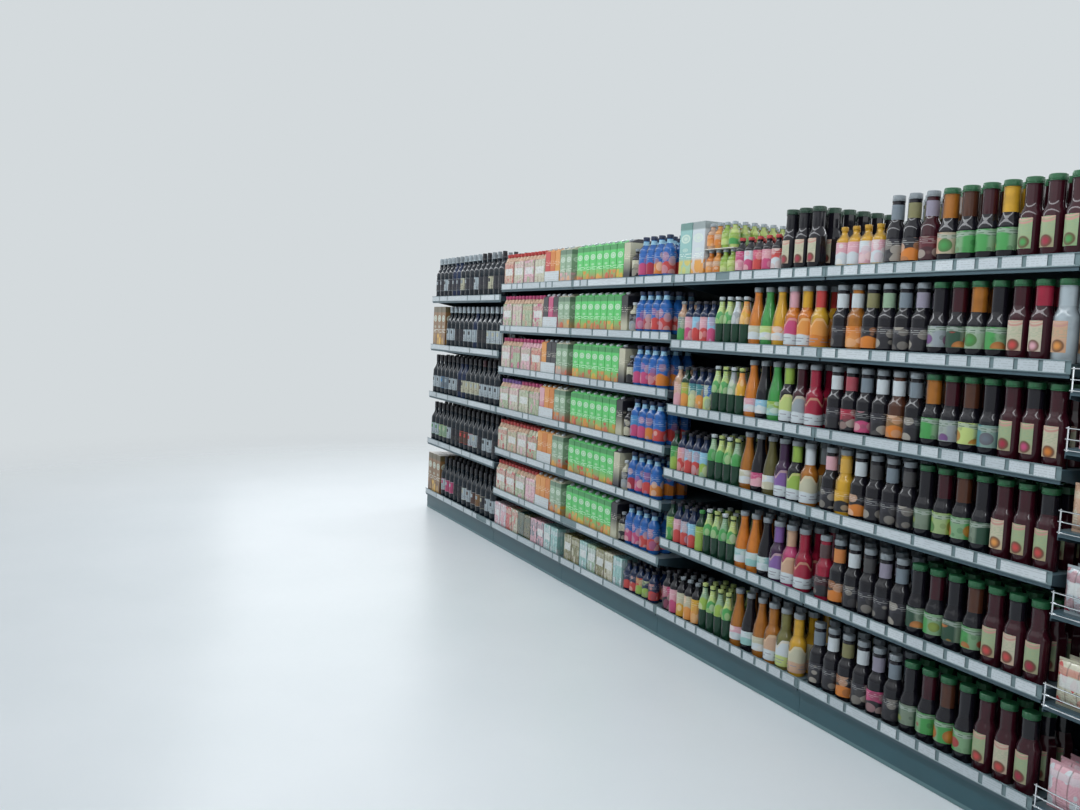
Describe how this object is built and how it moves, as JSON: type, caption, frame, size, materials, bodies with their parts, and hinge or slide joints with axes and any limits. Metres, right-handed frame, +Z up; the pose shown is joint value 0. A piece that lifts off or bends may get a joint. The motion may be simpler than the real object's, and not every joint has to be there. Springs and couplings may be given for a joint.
{
  "type": "stocked double-sided supermarket gondola shelving run",
  "caption": "Double-sided gondola shelving run: slotted posts, cantilever shelves with price strips, kick plates, and plain bottles, cartons and packets along each front",
  "frame": {"origin": "centre of the footprint on the floor, under the row of posts", "axes": "+X along the run with the packet bay's end positive, -Y towards the aisle that the picture shows, +Z up"},
  "size_m": [6.371, 1.0234, 1.9496],
  "materials": {
    "charcoal_steel": "satin powder coat",
    "slate_steel": "satin powder coat",
    "kick_paint": "satin powder coat",
    "skirting_grey": "matt",
    "strip_grey": "satin extrusion",
    "foot_black": "matt",
    "bright_wire": "plated",
    "dark_green_glass": "glossy",
    "nectar_glass": "glossy",
    "fruit_glass": "glossy",
    "red_juice_glass": "glossy",
    "orange_glass": "glossy",
    "green_soda_plastic": "glossy",
    "red_label_plastic": "glossy",
    "blue_drink_plastic": "glossy",
    "white_plastic": "glossy",
    "yellow_plastic": "glossy",
    "brown_card": "printed card",
    "multipack_card": "film wrapped",
    "orange_card": "coated card",
    "green_card": "coated card",
    "pale_green_card": "coated card",
    "teal_card": "coated card",
    "tray_card": "plain card",
    "pink_film": "printed film"
  },
  "bodies": {
    "root": {"posts": "charcoal_steel", "base_legs": "charcoal_steel", "levelling_feet": "foot_black", "kick_plates": "kick_paint", "skirting_strips": "skirting_grey", "back_panels": "charcoal_steel", "cap_rails": "charcoal_steel", "base_shelves": "slate_steel", "wine_shelves": "slate_steel", "carton_shelves_far": "slate_steel", "carton_shelves_near": "slate_steel", "bottle_shelves_far": "slate_steel", "bottle_shelves_near": "slate_steel", "packet_shelves": "slate_steel", "wine_brackets": "charcoal_steel", "carton_brackets": "charcoal_steel", "bottle_brackets": "charcoal_steel", "packet_brackets": "charcoal_steel", "wine_price_strips": "strip_grey", "carton_price_strips": "strip_grey", "bottle_price_strips": "strip_grey", "wire_fences": "bright_wire", "wine_bottles": "dark_green_glass", "gift_boxes": "brown_card", "multipacks": "multipack_card", "narrow_cartons": "orange_card", "drink_cartons": "green_card", "short_packs": "pale_green_card", "drink_bottles": "blue_drink_plastic", "small_bottles": "red_label_plastic", "soda_bottles": "green_soda_plastic", "slim_bottles": "orange_glass", "nectar_bottles": "nectar_glass", "fruit_bottles": "fruit_glass", "tall_label_bottles": "red_juice_glass", "top_packs": "teal_card", "miniature_bottles": "yellow_plastic", "tier_trays": "tray_card", "packets": "pink_film", "tubs": "white_plastic"}
  },
  "joints": []
}
